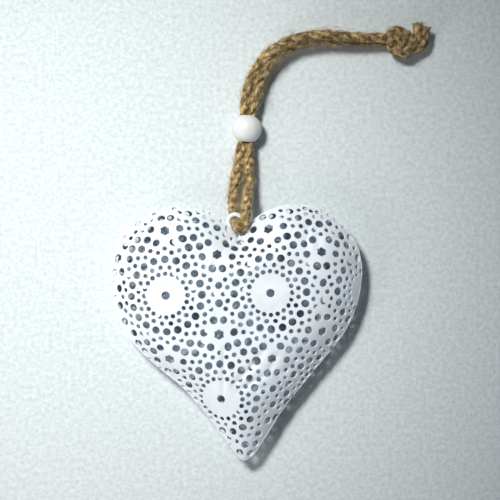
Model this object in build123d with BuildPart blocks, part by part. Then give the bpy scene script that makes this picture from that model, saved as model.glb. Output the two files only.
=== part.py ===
from build123d import *
import math
import os

# Punched-tin heart ornament lying on its back, in millimetres.
# +Z points out of the front, +Y from the tip to the cleft, and z = 0 is the back's flat crown.

# Heart outline
HEART_WIDTH = 80.0
HEART_LENGTH = 82.4
CLEFT_DEPTH = 10.4
LOBE_RADIUS = 21.0
SHOULDER_ANGLE = 46.0
HIP_ANGLE = -41.0
LOBE_CHORDS = 10
SIDE_CHORDS = 9

# Pressed shells and the solder between their flanges
SHELL_DEPTH = 7.9
CROWN_RUN = 14.0
CROWN_STEPS = 4
CREST_RISE = 8.0
WALL = 0.5
FLANGE_WIDTH = 1.4
SOLDER = 0.2

# Punched pattern: daisies on a staggered grid, with a star at each corner of their cells
DAISY_PITCH = 34.0
ROW_PITCH = 33.7
DAISY_AT = (9.6, 11.8)
PETAL_RING = 11.6
PETAL_COUNT = 20
HOLE_DIAMETER = 2.45
HOLE_SIDES = 6
STAR_DIAMETER = 3.4
STAR_RISE = 21.0
STAR_RING = 4.85
STAR_RING_ANGLES = (8, 71, 109, 172, 235, 305)
UPRIGHT_EDGE_HALF = 2.85
SLANT_EDGE_HALF = 3.0
SLANT_ACROSS_HALF = 1.8
HOLE_EDGE_LAND = 0.5

# Wire eye, with two legs held in the seam at the cleft and spread apart inside
EYE_SIDE = -0.4
EYE_RISE = 5.6
EYE_RADIUS = 2.3
EYE_WIRE = 1.1
EYE_BEND = 0.9
EYE_LEG_GAP = 0.04
EYE_LEG_REACH = 8.6
EYE_SPREAD_REACH = 2.6
EYE_SPREAD_ANGLE = 62.0
SLOT_CLEARANCE = 0.06
WIRE_SIDES = 6

# Bead, placed from the eye's centre
BEAD_AT = (3.76, 29.67)
BEAD_TURN = 6.5
BEAD_DIAMETER = 9.6
BEAD_LENGTH = 8.6
BEAD_BORE = 4.4
BEAD_LIP = 0.4
BEAD_SIDES = 20
BEAD_STEPS = 4
BEAD_CURVE = 65.0

# Doubled twine, squeezed in the bead, with its knot and two cut ends
TWINE = 2.8
TWINE_SIDES = 8
TWINE_GAP = 0.1
NECK_GAP = 0.1
NECK_CLEARANCE = 0.25
NECK_REACH = 0.5
NECK_ROOT = 0.3
BIGHT_SLACK = 0.2
BIGHT_REACH = 4.2
BEAD_APPROACH = 5.2
BEND_SHARE = 0.45
KNOT_AT = (50.6, 57.0, 4.65)
KNOT_DIAMETER = 9.2
KNOT_LENGTH = 7.2
KNOT_FACE = 6.3
KNOT_SIDES = 16
KNOT_STEPS = 3
KNOT_CURVE = 70.0

# Twine points, from the eye's centre and up from the table: eye to bead, bead to knot, and past the knot
LEFT_BELOW = [(-1.3, 8.6, 5.5), (-0.2, 14.6, 5.1)]
RIGHT_BELOW = [(2.6, 8.2, 9.2), (3.8, 14.4, 6.8)]
LEFT_ABOVE = [
    (3.8, 41.3, 4.8),
    (6.1, 47.8, 5.0),
    (10.7, 52.9, 5.4),
    (16.0, 56.1, 5.9),
    (22.0, 57.7, 6.1),
    (30.3, 58.4, 6.1),
    (40.6, 57.3, 6.1),
]
RIGHT_ABOVE = [
    (6.6, 40.5, 4.8),
    (8.7, 46.4, 4.6),
    (12.5, 51.3, 3.9),
    (16.8, 54.5, 3.5),
    (22.2, 56.9, 3.2),
    (30.3, 57.8, 3.2),
    (40.6, 56.8, 3.2),
]
UPPER_TAIL = [(60.3, 57.7, 5.9), (62.2, 58.5, 5.7), (63.7, 60.0, 5.3)]
LOWER_TAIL = [(60.3, 56.5, 3.2), (62.3, 56.0, 3.0), (64.1, 54.9, 2.6)]

seam_z = SHELL_DEPTH + SOLDER / 2
strand_half = (TWINE + TWINE_GAP) / 2
neck = (BEAD_BORE - NECK_GAP) / 2 - NECK_CLEARANCE
neck_half = (neck + NECK_GAP) / 2

os.makedirs("parts", exist_ok=True)


def finish(piece, name):
    """Label a finished piece and write it."""
    piece.part.label = name
    export_step(piece.part, f"parts/{name}.step")


def inset(outline, distance):
    """An outline with its sides moved inwards, corner by corner."""
    moved = []
    for before, corner, after in zip(outline[-1:] + outline[:-1], outline, outline[1:] + outline[:1]):
        arriving = (corner - before).normalized()
        leaving = (after - corner).normalized()
        inward = Vector(-arriving.Y - leaving.Y, arriving.X + leaving.X)
        moved.append(corner + inward * (distance / (1 + arriving.dot(leaving))))
    return moved


def crown(outline, centre, rise, draw, steps, curve=90.0):
    """Raise an outline from z = 0 along an elliptic arc in flats, drawn in towards a centre by a share."""
    stop = math.radians(curve)
    levels = []
    for step in range(steps + 1):
        angle = stop * step / steps
        height = rise * math.sin(angle) / math.sin(stop)
        size = 1 - draw * (1 - math.cos(angle)) / (1 - math.cos(stop))
        levels.append([centre + (corner - centre) * size + Vector(0, 0, height) for corner in outline])
    sides = [levels[0], levels[-1]]
    for low, high in zip(levels, levels[1:]):
        sides += [[low[at - 1], low[at], high[at], high[at - 1]] for at in range(len(outline))]
    return Solid(Shell([Face(Wire.make_polygon(side)) for side in sides]))


def barrel(diameter, length, face, sides, steps, curve):
    """A round body about Z, centred on z = 0, with flat ends."""
    corners = [Vector(diameter / 2).rotate(Axis.Z, 360 * side / sides) for side in range(sides)]
    half = crown(corners, Vector(), length / 2, 1 - face / diameter, steps, curve)
    with BuildPart() as body:
        add(half)
        mirror(about=Plane.XY)
    return body.part


# Heart outline: an arc over each lobe, an arc round each side and a straight flank to the tip
top_y = HEART_LENGTH / 2
cleft_y = top_y - CLEFT_DEPTH
lobe_y = top_y - LOBE_RADIUS
lobe_x = math.sqrt(LOBE_RADIUS**2 - (cleft_y - lobe_y) ** 2)
cleft_angle = math.degrees(math.atan2(cleft_y - lobe_y, -lobe_x))
shoulder = math.radians(SHOULDER_ANGLE)
side_radius = (HEART_WIDTH / 2 - lobe_x - LOBE_RADIUS * math.cos(shoulder)) / (1 - math.cos(shoulder))
side_x = lobe_x + (LOBE_RADIUS - side_radius) * math.cos(shoulder)
side_y = lobe_y + (LOBE_RADIUS - side_radius) * math.sin(shoulder)

with BuildLine() as half_rim:
    side = CenterArc((side_x, side_y), side_radius, HIP_ANGLE, SHOULDER_ANGLE - HIP_ANGLE)
    lobe = CenterArc((lobe_x, lobe_y), LOBE_RADIUS, SHOULDER_ANGLE, cleft_angle - SHOULDER_ANGLE)

right_rim = [side @ (chord / SIDE_CHORDS) for chord in range(SIDE_CHORDS)]
right_rim += [lobe @ (chord / LOBE_CHORDS) for chord in range(LOBE_CHORDS)]
left_rim = [Vector(-corner.X, corner.Y) for corner in reversed(right_rim)]
rim_corners = [Vector(0, -top_y), *right_rim, Vector(0, cleft_y), *left_rim]
swell_corners = inset(rim_corners, FLANGE_WIDTH)
cavity_corners = inset(rim_corners, FLANGE_WIDTH + WALL)

with BuildSketch() as rim:
    with BuildLine():
        Polyline(*rim_corners, close=True)
    make_face()


# Punched pattern
def on_crown(spot, diameter):
    """True where a hole of that diameter lies inside the flange."""
    land = FLANGE_WIDTH + diameter / 2 + HOLE_EDGE_LAND
    point = Vector(*spot)
    return rim.face().is_inside(point) and rim.face().outer_wire().distance_to(point) > land


def polar(centre, reach, angle):
    """The spot at that reach and angle from a centre."""
    return (
        centre[0] + reach * math.cos(math.radians(angle)),
        centre[1] + reach * math.sin(math.radians(angle)),
    )


daisies = []
for row in range(-2, 3):
    for column in range(-2, 3):
        shift = 0.5 * (row % 2)
        daisies.append((DAISY_AT[0] + DAISY_PITCH * (column + shift), DAISY_AT[1] + ROW_PITCH * row))

# Round holes ring each daisy and each star, and run along the edges between the daisies' cells
slant_fall = 2 * STAR_RISE - ROW_PITCH
slant_angle = math.degrees(math.atan2(slant_fall, DAISY_PITCH / 2))
round_spots = []
star_spots = []
for daisy in daisies:
    round_spots.append(daisy)
    round_spots += [polar(daisy, PETAL_RING, 360 * petal / PETAL_COUNT) for petal in range(PETAL_COUNT)]
    upright_edge = (daisy[0] + DAISY_PITCH / 2, daisy[1])
    round_spots += [polar(upright_edge, UPRIGHT_EDGE_HALF, angle) for angle in (90, -90)]
    for hand in (-1, 1):
        slant_edge = (daisy[0] + hand * DAISY_PITCH / 4, daisy[1] + STAR_RISE - slant_fall / 2)
        along = -hand * slant_angle
        round_spots += [polar(slant_edge, SLANT_EDGE_HALF, angle) for angle in (along, along + 180)]
        round_spots += [polar(slant_edge, SLANT_ACROSS_HALF, angle) for angle in (along + 90, along - 90)]
        star = (daisy[0], daisy[1] + hand * STAR_RISE)
        star_spots.append(star)
        round_spots += [polar(star, STAR_RING, hand * angle) for angle in STAR_RING_ANGLES]
round_spots = [spot for spot in round_spots if on_crown(spot, HOLE_DIAMETER)]
star_spots = [spot for spot in star_spots if on_crown(spot, STAR_DIAMETER)]

# One pressing, its flange standing half the solder's thickness above z = 0
crest = Vector(0, CREST_RISE)
draw = CROWN_RUN / (HEART_WIDTH / 2 - FLANGE_WIDTH)
swell = crown(swell_corners, crest, SHELL_DEPTH, draw, CROWN_STEPS)
cavity = crown(cavity_corners, crest, SHELL_DEPTH - WALL, draw, CROWN_STEPS)

with BuildPart() as pressing:
    with BuildSketch():
        add(rim.sketch)
    extrude(amount=WALL)
    add(swell)
    add(cavity, mode=Mode.SUBTRACT)
    with BuildSketch():
        with Locations(*round_spots):
            RegularPolygon(HOLE_DIAMETER / 2, HOLE_SIDES, major_radius=False)
        with Locations(*star_spots):
            RegularPolygon(STAR_DIAMETER / 2, 3, rotation=90)
            RegularPolygon(STAR_DIAMETER / 2, 3, rotation=-90)
    extrude(amount=2 * SHELL_DEPTH, mode=Mode.SUBTRACT)

# Slot through both flanges and the solder for the eye's legs, from the eye's ring into the hollow
eye_at = Vector(EYE_SIDE, cleft_y + EYE_RISE)
leg_x = (EYE_WIRE + EYE_LEG_GAP) / 2
slot_width = 2 * leg_x + EYE_WIRE + 2 * SLOT_CLEARANCE
slot_height = EYE_WIRE + 2 * SLOT_CLEARANCE
slot_top = eye_at.Y - EYE_RADIUS
slot_foot = cleft_y - 2 * (cleft_y - cavity_corners[len(right_rim) + 1].Y)
slot_at = (EYE_SIDE, (slot_top + slot_foot) / 2, seam_z)
slot_length = slot_top - slot_foot

with BuildPart() as front_shell:
    with Locations((0, 0, seam_z + SOLDER / 2)):
        add(pressing.part)
    with Locations(slot_at):
        Box(slot_width, slot_length, slot_height, mode=Mode.SUBTRACT)
finish(front_shell, "front_shell")

with BuildPart() as back_shell:
    with Locations((0, 0, seam_z - SOLDER / 2)):
        add(pressing.part, rotation=(0, 180, 0))
    with Locations(slot_at):
        Box(slot_width, slot_length, slot_height, mode=Mode.SUBTRACT)
finish(back_shell, "back_shell")

with BuildPart() as seam_solder:
    with BuildSketch(Plane.XY.offset(seam_z)):
        add(rim.sketch)
        with BuildLine():
            Polyline(*cavity_corners, close=True)
        make_face(mode=Mode.SUBTRACT)
    extrude(amount=SOLDER / 2, both=True)
    with Locations(slot_at):
        Box(slot_width, slot_length, slot_height, mode=Mode.SUBTRACT)
finish(seam_solder, "seam_solder")

# Wire eye: half of its path from a spread tip up the leg and round to the top, then mirrored
bend_x = leg_x + EYE_BEND
bend_y = -math.sqrt((EYE_RADIUS + EYE_BEND) ** 2 - bend_x**2)
bend_angle = math.degrees(math.atan2(-bend_y, bend_x))
with BuildPart() as hanging_eye:
    with BuildLine(Plane((eye_at.X, eye_at.Y, seam_z))) as wire:
        leg = Line((-leg_x, -EYE_LEG_REACH), (-leg_x, bend_y))
        foot = JernArc(leg @ 0, -(leg % 0), EYE_BEND, -EYE_SPREAD_ANGLE)
        Line(foot @ 1, (foot @ 1) + (foot % 1) * EYE_SPREAD_REACH)
        throat = JernArc(leg @ 1, leg % 1, EYE_BEND, bend_angle)
        JernArc(throat @ 1, throat % 1, EYE_RADIUS, -90 - bend_angle)
        mirror(about=Plane.YZ.offset(EYE_SIDE))
    with BuildSketch(Plane(origin=wire.wire() @ 0, z_dir=wire.wire() % 0)):
        RegularPolygon(EYE_WIRE / 2, WIRE_SIDES)
    sweep(path=wire.wire())
finish(hanging_eye, "hanging_eye")

# Bead, turned about the twine that runs through it
turn = math.radians(BEAD_TURN)
bead_plane = Plane(
    origin=eye_at + Vector(*BEAD_AT, BEAD_DIAMETER / 2),
    x_dir=(math.cos(turn), -math.sin(turn), 0),
    z_dir=(math.sin(turn), math.cos(turn), 0),
)
with BuildPart() as bead:
    with Locations(bead_plane.location):
        add(barrel(BEAD_DIAMETER, BEAD_LENGTH, BEAD_BORE + 2 * BEAD_LIP, BEAD_SIDES, BEAD_STEPS, BEAD_CURVE))
        Cylinder(BEAD_BORE / 2, 2 * BEAD_LENGTH, mode=Mode.SUBTRACT)
finish(bead, "bead")


# Twine
def tube(name, points, radii=None):
    """One length of twine along straight runs and the largest arcs that they allow."""
    corners = [Vector(*point) for point in points]
    if radii is None:
        radii = []
        for before, corner, after in zip(corners, corners[1:], corners[2:]):
            half_turn = math.radians((corner - before).get_angle(after - corner) / 2)
            shorter = min((corner - before).length, (after - corner).length)
            radii.append(BEND_SHARE * shorter / math.tan(half_turn))
    with BuildPart() as length:
        with BuildLine() as route:
            FilletPolyline(*corners, radius=radii)
        with BuildSketch(Plane(origin=route.wire() @ 0, z_dir=route.wire() % 0)) as section:
            RegularPolygon(TWINE / 2, TWINE_SIDES)
        sweep(path=route.wire())
    plain = section.sketch.area * route.wire().length
    print(name, "bend radii", [round(radius, 1) for radius in radii], "length", round(route.wire().length, 1))
    print(name, "volume share", round(length.part.volume / plain, 4))
    return length.part


def strand(name, hand, below, above):
    """One strand from its bight past the squeezed neck in the bead to the knot."""
    start = bight_ends[hand]
    below = [eye_at + Vector(*point) for point in below]
    above = [eye_at + Vector(*point) for point in above]
    end_reach = BEAD_LENGTH / 2 + NECK_REACH
    approach = bead_plane.from_local_coords(Vector(hand * strand_half, 0, -end_reach - BEAD_APPROACH))
    foot = bead_plane.from_local_coords(Vector(hand * strand_half, 0, -end_reach))
    head = bead_plane.from_local_coords(Vector(hand * strand_half, 0, end_reach))
    knot_entry = Vector(knot_at.X, above[-1].Y, above[-1].Z)
    with BuildPart() as whole:
        add(tube(f"{name} below the bead", [start, *below, approach, foot]))
        add(tube(f"{name} above the bead", [head, *above, knot_entry]))
        with BuildSketch(bead_plane.offset(-end_reach - NECK_ROOT)):
            with Locations((hand * neck_half, 0)):
                RegularPolygon(neck / 2, TWINE_SIDES)
        extrude(amount=2 * (end_reach + NECK_ROOT))
    return whole


knot_at = eye_at + Vector(*KNOT_AT)
low_corner = eye_at + Vector(0, 0, seam_z - EYE_RADIUS)
high_corner = eye_at + Vector(0, 0, seam_z + EYE_RADIUS)
bight_ends = {
    -1: low_corner + (eye_at + Vector(*LEFT_BELOW[0]) - low_corner).normalized() * BIGHT_REACH,
    1: high_corner + (eye_at + Vector(*RIGHT_BELOW[0]) - high_corner).normalized() * BIGHT_REACH,
}
bight_radius = EYE_RADIUS - BIGHT_SLACK

with BuildPart() as twine_bight:
    add(tube("bight", [bight_ends[-1], low_corner, high_corner, bight_ends[1]], [bight_radius] * 2))
finish(twine_bight, "twine_bight")

twine_left = strand("left strand", -1, LEFT_BELOW, LEFT_ABOVE)
finish(twine_left, "twine_left")

twine_right = strand("right strand", 1, RIGHT_BELOW, RIGHT_ABOVE)
finish(twine_right, "twine_right")

knot_plane = Plane(origin=knot_at + Vector(KNOT_LENGTH / 2), x_dir=(0, 1, 0), z_dir=(1, 0, 0))
with BuildPart() as twine_knot:
    with Locations(knot_plane.location):
        add(barrel(KNOT_DIAMETER, KNOT_LENGTH, KNOT_FACE, KNOT_SIDES, KNOT_STEPS, KNOT_CURVE))
finish(twine_knot, "twine_knot")

with BuildPart() as twine_tails:
    for name, points in (("upper tail", UPPER_TAIL), ("lower tail", LOWER_TAIL)):
        tail = [eye_at + Vector(*point) for point in points]
        tail_root = Vector(knot_at.X + KNOT_LENGTH, tail[0].Y, tail[0].Z)
        add(tube(name, [tail_root, *tail]))
finish(twine_tails, "twine_tails")
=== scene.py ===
"""Puffed heart ornament of pierced white tin on a loop of jute twine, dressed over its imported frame."""
import math
import random

import bpy
import numpy as np
from bpy.props import FloatProperty, FloatVectorProperty, IntProperty, PointerProperty
from mathutils import Matrix, Vector, noise


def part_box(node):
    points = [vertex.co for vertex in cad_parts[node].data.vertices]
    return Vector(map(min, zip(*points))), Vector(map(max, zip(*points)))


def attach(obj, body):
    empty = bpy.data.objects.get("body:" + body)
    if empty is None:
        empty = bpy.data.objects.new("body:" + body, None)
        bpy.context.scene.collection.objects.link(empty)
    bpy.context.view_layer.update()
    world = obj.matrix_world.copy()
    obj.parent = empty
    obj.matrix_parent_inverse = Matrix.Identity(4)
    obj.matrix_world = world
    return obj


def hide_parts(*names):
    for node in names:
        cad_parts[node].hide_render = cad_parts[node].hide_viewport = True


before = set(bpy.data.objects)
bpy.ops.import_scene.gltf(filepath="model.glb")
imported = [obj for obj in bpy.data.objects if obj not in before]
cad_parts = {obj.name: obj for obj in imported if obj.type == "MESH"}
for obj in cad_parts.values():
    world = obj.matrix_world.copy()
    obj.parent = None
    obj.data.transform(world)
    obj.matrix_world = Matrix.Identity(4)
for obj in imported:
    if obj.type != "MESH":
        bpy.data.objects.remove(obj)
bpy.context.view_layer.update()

bl_info = {
    "name": "Pierced tin heart",
    "version": (1, 0, 0),
    "blender": (4, 5, 0),
    "location": "View3D > Sidebar > Tin heart",
    "description": "Models a puffed heart of pierced white tin, its wire eye, bead and jute twine",
    "category": "Add Mesh",
}

MM = 0.001
SEED = 41

# The twine's route in millimetres: up from the eye, through the bead and round to the knot.
LEFT_ROUTE = (
    (-0.7, 35.0, 8.4), (-0.9, 36.9, 5.5), (-1.5, 41.5, 5.2), (-1.4, 46.0, 5.3), (-0.2, 51.0, 5.1),
    (1.2, 56.3, 4.8), (1.7, 61.47, 4.8), (2.5, 66.18, 4.8), (2.7, 71.0, 4.8), (3.8, 77.7, 5.0),
    (6.0, 84.2, 5.6), (10.4, 89.6, 6.5), (15.6, 93.1, 7.3), (21.6, 95.1, 7.9), (29.9, 95.8, 8.1),
    (40.2, 94.4, 7.5), (50.6, 94.2, 6.1),
)
RIGHT_ROUTE = (
    (-0.7, 35.0, 8.4), (-0.6, 34.0, 10.5), (1.7, 33.8, 11.0), (2.7, 38.6, 10.2), (3.3, 44.0, 7.2),
    (3.9, 49.4, 4.9), (3.9, 55.97, 4.8), (4.3, 61.14, 4.8), (4.6, 65.96, 4.8), (5.4, 70.68, 4.8),
    (6.5, 76.9, 5.0), (8.5, 82.8, 5.2), (12.1, 88.0, 5.2), (16.4, 91.3, 5.2), (21.8, 93.5, 5.1),
    (29.9, 94.3, 5.1), (40.2, 93.4, 4.6), (50.6, 93.2, 3.2),
)

# The knot's turns and the two ends that stand out of it side by side, in millimetres.
KNOT_TURNS = (
    ((50.3, 93.0, 5.0), (50.6, 95.4, 6.2), (52.4, 96.6, 7.0), (54.4, 96.1, 7.4), (55.5, 94.2, 7.2),
     (55.2, 91.8, 5.8), (54.4, 90.2, 4.0)),
    ((50.7, 92.4, 6.0), (51.4, 94.2, 7.7), (52.9, 94.8, 8.3), (54.1, 93.8, 8.4), (54.5, 92.2, 7.8),
     (54.4, 90.8, 6.3)),
    ((51.2, 92.8, 4.0), (51.5, 90.8, 4.6), (52.9, 89.5, 5.0), (55.2, 89.1, 5.2), (57.2, 90.0, 5.4),
     (58.3, 92.0, 5.4), (58.6, 93.8, 5.4)),
    ((51.8, 91.8, 5.6), (53.2, 90.9, 6.4), (55.2, 90.7, 6.7), (57.0, 91.4, 6.5), (58.1, 93.3, 6.1),
     (58.3, 95.2, 5.7)),
    ((56.9, 95.4, 3.6), (57.0, 94.4, 6.0), (56.9, 92.6, 6.8), (56.5, 90.4, 6.1), (55.7, 88.9, 4.3)),
    ((50.4, 93.2, 3.2), (53.0, 92.6, 3.2), (56.0, 92.2, 3.4), (58.5, 92.6, 3.6)),
)
UPPER_END = ((57.2, 90.8, 4.6), (58.9, 92.6, 5.5), (59.7, 95.0, 5.7), (59.8, 97.3, 5.4))
LOWER_END = ((58.0, 90.0, 3.9), (60.9, 91.2, 4.5), (62.0, 94.0, 4.9), (62.2, 96.2, 4.8))
BEAD_MIDDLE = Vector((3.6, 66.07, 4.8)) * MM
BEAD_AXIS = Vector((0.1132, 0.9936, 0.0)).normalized()
BEAD_CLEAR = 6.0 * MM
EYE_MIDDLE = Vector((-0.9, 36.0, 8.0)) * MM

# The eye's two legs in the cleft in millimetres, the gap at its foot, and how far its ring is let out,
# because its spline cuts inside the ring's spots.
EYE_LEFT_LEG = ((-2.6, 27.8), (-1.5, 29.6), (-1.0, 31.4))
EYE_RIGHT_LEG = ((0.5, 31.4), (1.0, 29.6), (2.0, 27.8))
EYE_GAP_DEGREES = 56
EYE_SWELL = 1.03

# Plies and yarns: shares of the strand's radius, and the fibres' coordinates along a tube.
PLIES = 3
PLY_OFFSET = 0.44
PLY_RADIUS = 0.62
PLY_SIDES = 12
PLY_ROUGHNESS = 0.22
FIBRES_PER_MM = 0.06
FIBRE_SKEW = 0.35
FIBRE_STRETCH = 4
WISPS = 70
KNOT_YARNS = 45
KNOT_FIBRES = 200
END_YARNS = 36
END_BRISTLES = 700

# The edge of the heart from the tip to the cleft, right and left as the front is seen, in millimetres.
RIGHT_EDGE = (
    (0.0, -41.2), (2.8, -39.9), (5.0, -37.0), (7.8, -33.0), (12.5, -25.9), (17.0, -20.2), (22.1, -14.2),
    (26.9, -8.6), (30.2, -5.0), (33.6, -0.4), (36.5, 4.9), (38.4, 10.3), (39.5, 16.0), (39.7, 20.8),
    (38.9, 25.7), (37.2, 29.5), (33.7, 34.3), (30.2, 37.3), (26.0, 39.6), (21.5, 40.9), (17.5, 41.2),
    (13.0, 40.5), (8.6, 38.9), (4.8, 36.4), (1.9, 33.4), (0.0, 30.8),
)
LEFT_EDGE = (
    (0.0, -41.2), (-2.5, -39.2), (-6.8, -33.1), (-11.9, -25.9), (-19.0, -17.5), (-24.0, -13.0), (-28.9, -8.7),
    (-33.5, -4.0), (-37.2, 0.8), (-39.5, 6.4), (-40.7, 13.0), (-41.1, 19.0), (-40.5, 25.0), (-38.7, 30.0),
    (-36.0, 33.7), (-31.2, 38.0), (-26.0, 40.5), (-20.5, 41.5), (-15.5, 41.3), (-10.0, 39.7), (-5.6, 37.1),
    (-2.2, 33.6), (0.0, 30.8),
)

# The edge is drawn at this width and length, rounded in steps between its spots, and then spaced evenly.
EDGE_WIDTH = 80
EDGE_LENGTH = 82.4
EDGE_STEPS = 12
RIM_SPOTS = 264

# The seam lies halfway up the heart. Its section is how far in from the rim and how high, in millimetres.
SEAM_HEIGHT = sum(corner[2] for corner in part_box("seam_solder")) / 2
SOLDER_SECTION = ((0.22, 0.1), (0.06, 0.055), (0.06, -0.055), (0.22, -0.1), (1.5, -0.1), (1.5, 0.1))
HALF_SOLDER = 0.1 * MM

# The crown rises over its reach from the edge to the crest, with room left for the swells of the sheet.
CROWN_REACH = 11.5 * MM
CREST = (0.0, 8 * MM)
SWELL_ROOM = 0.25 * MM
OUTER_RINGS = (0.988, 0.972, 0.952)
RING_STEP = 0.0205
INNERMOST_RING = 0.03

# Swells as height, spread and slice of the noise, creases as start and end, depth and spread, and dents as
# place, depth and spread, in millimetres. A crease runs on past its ends by a share of its length and fades.
SWELLS = ((0.20, 10, 3.1), (0.10, 4.5, 8.7))
CREASES = (
    (-2.2, -16.1, 3.9, -9.9, 0.55, 0.8), (3.9, -9.9, 7.5, -5.7, 0.42, 0.85),
    (-0.8, -17.9, 6.8, -13.9, 0.55, 0.8), (4.8, -17.9, 8.2, -17.3, 0.42, 0.7),
    (-5.9, -17.5, -5.4, -5.9, 0.42, 0.85), (8.8, -12.1, 11.6, -7.1, 0.44, 0.85),
    (12.4, -13.5, 19.2, -8.2, 0.42, 0.9), (21.8, 27.5, 22.6, 34.0, 0.42, 0.85),
    (25.8, 27.0, 25.4, 33.0, 0.36, 0.85), (26.0, 5.0, 31.0, 1.0, 0.40, 1.0),
    (-8.0, 22.0, -3.0, 30.0, 0.34, 0.9),
)
CREASE_RUN = 0.3
CREASE_FADE = 3.3
DENTS = ((28.0, 13.0, 0.45, 5.0), (22.0, 30.0, 0.35, 4.5), (-15.0, 27.0, 0.30, 6.0), (13.0, -12.0, 0.30, 5.0))

# The lace in millimetres and degrees: the daisies and their rings of holes, the stars and the rings round
# them, and the holes along the edges of the daisies' cells.
FIRST_DAISY = (9.9, 12.75)
DAISY_PITCH = (33.5, 33.85)
DAISY_TURN = 18
DAISY_RINGS = (
    (11.6, 0, 'large'), (7.0, 0, 'small'), (9.05, 9, 'small'), (13.9, 9, 'small'), (15.15, 0, 'small'),
)
STAR_DISTANCE = 21
STAR_RING = 4.85
STAR_RING_TURNS = (8, 71, 109, 172, 235, 305)
PAIR_PLACE = (17, 2.85)
CELL_EDGE = (8.5, 16.85)
CELL_SLANT = (0.899, -0.438)
LACE_HALF_SPAN = (48 * MM, 50 * MM)

# The punches: their lips as shares of the sheet, the room round each hole, and how often, how far and
# which way the slug of a hole hangs back in it.
PUNCH_LENGTH = 2.4 * MM
LIP_LEVELS = (-0.35, 0.1)
LIP_FLARE = 0.32
STAR_WAIST = 0.80
EYELET_RADIUS = 1.3 * MM
STAR_RADIUS = 1.5 * MM
HOLE_GAP = 0.24 * MM
HOLE_ORDER = ('eyelet', 'star', 'large', 'small')
CLOSED_SHARE = {'large': 0.08, 'small': 0.24, 'eyelet': 0.0, 'star': 0.0}
SLUG_SHIFTS = {'large': (0.8, 1.35), 'small': (1.0, 1.25, 1.45)}
SLUG_TURN = (50, 45)
STROKE_WOBBLE = 0.035

# Where the lights and the camera stand and what the lights look at, in metres.
KEY_PLACE = (-0.241, 0.350, 0.693)
KEY_AIM = (-0.058, 0.045, 0.0)
SIDE_PLACE = (-0.20, -0.14, 0.18)
SIDE_AIM = (-0.02, 0.02, 0.0)
CAMERA_PLACE = (0.00367, 0.0267, 0.708)
CAMERA_TURN = math.radians(-1.4)


class TinHeartShape(bpy.types.PropertyGroup):
    """Sizes of the pressed and pierced shells."""

    width: FloatProperty(
        name="Width", description="Widest span of the heart", default=0.080, unit='LENGTH')
    length: FloatProperty(
        name="Length", description="Tip to the top of the lobes", default=0.0824, unit='LENGTH')
    shell_depth: FloatProperty(
        name="Shell depth", description="Height of each dome over the seam", default=0.0079, unit='LENGTH')
    flange: FloatProperty(
        name="Flange", description="Width of the flat edge round the dome", default=0.0002, unit='LENGTH')
    sheet: FloatProperty(
        name="Sheet", description="Thickness of the tin", default=0.0004, unit='LENGTH')
    large_hole: FloatProperty(
        name="Large hole", description="Diameter of the larger round holes", default=0.00245, unit='LENGTH')
    small_hole: FloatProperty(
        name="Small hole", description="Diameter of the finer round holes", default=0.00145, unit='LENGTH')
    star_hole: FloatProperty(
        name="Star hole", description="Span of the six-pointed holes", default=0.0033, unit='LENGTH')


class TwineShape(bpy.types.PropertyGroup):
    """Sizes of the twine, bead and eye."""

    twine: FloatProperty(
        name="Twine", description="Thickness of one strand", default=0.0030, unit='LENGTH')
    lay: FloatProperty(
        name="Lay", description="Length of one full turn of the plies", default=0.0150, unit='LENGTH')
    fibres: IntProperty(
        name="Fibres", description="Loose fibres on each strand", default=1500, min=0)
    yarns: IntProperty(
        name="Yarns", description="Yarns that stand out on the plies of each strand", default=420, min=0)
    bead: FloatProperty(
        name="Bead", description="Widest diameter of the bead", default=0.0096, unit='LENGTH')
    bead_length: FloatProperty(
        name="Bead length", description="Length of the bead along its bore", default=0.0086, unit='LENGTH')
    bead_bore: FloatProperty(
        name="Bead bore", description="Diameter of the bead's bore", default=0.0040, unit='LENGTH')
    eye_wire: FloatProperty(
        name="Eye wire", description="Thickness of the eye's wire under its paint", default=0.0014,
        unit='LENGTH')
    eye_radius: FloatProperty(
        name="Eye radius", description="Radius of the eye to the middle of its wire", default=0.0023,
        unit='LENGTH')


class HeartColours(bpy.types.PropertyGroup):
    """Colours of the finishes and the floor."""

    paint: FloatVectorProperty(
        name="Paint", description="White paint on the tin", subtype='COLOR', default=(0.88, 0.91, 0.95))
    # Bare tin inside the shells, its colour darkened and tinted blue as painted shade for what shows through
    # the holes.
    tin: FloatVectorProperty(
        name="Tin", description="Bare tin inside the shells", subtype='COLOR', default=(0.45, 0.55, 0.68))
    lacquer: FloatVectorProperty(
        name="Lacquer", description="White lacquer on the bead", subtype='COLOR', default=(0.86, 0.86, 0.84))
    jute_light: FloatVectorProperty(
        name="Pale jute", description="Jute where the light catches it", subtype='COLOR',
        default=(0.88, 0.61, 0.24))
    jute_dark: FloatVectorProperty(
        name="Dark jute", description="Jute in the grooves", subtype='COLOR', default=(0.10, 0.040, 0.006))
    hair_light: FloatVectorProperty(
        name="Pale hairs", description="Loose fibres where they are bleached", subtype='COLOR',
        default=(0.90, 0.72, 0.38))
    hair_dark: FloatVectorProperty(
        name="Dark hairs", description="Loose fibres where they are darkest", subtype='COLOR',
        default=(0.44, 0.27, 0.09))
    floor: FloatVectorProperty(
        name="Floor", description="Pale felt that it lies on", subtype='COLOR', default=(0.84, 0.88, 0.885))


class TinHeartSettings(bpy.types.PropertyGroup):
    """All that a user would change on the ornament."""

    shape: PointerProperty(type=TinHeartShape)
    twine: PointerProperty(type=TwineShape)
    colours: PointerProperty(type=HeartColours)


# Small helpers for the operators

def settings():
    return bpy.context.scene.tin_heart


def clear_selection():
    bpy.ops.object.select_all(action='DESELECT')


def select_only(*pieces):
    clear_selection()
    for piece in pieces:
        piece.select_set(True)
    bpy.context.view_layer.objects.active = pieces[0]


def newest(name):
    """The object that was made last, under its own name."""
    piece = bpy.context.active_object
    piece.name = name
    piece.data.name = name
    return piece


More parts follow.
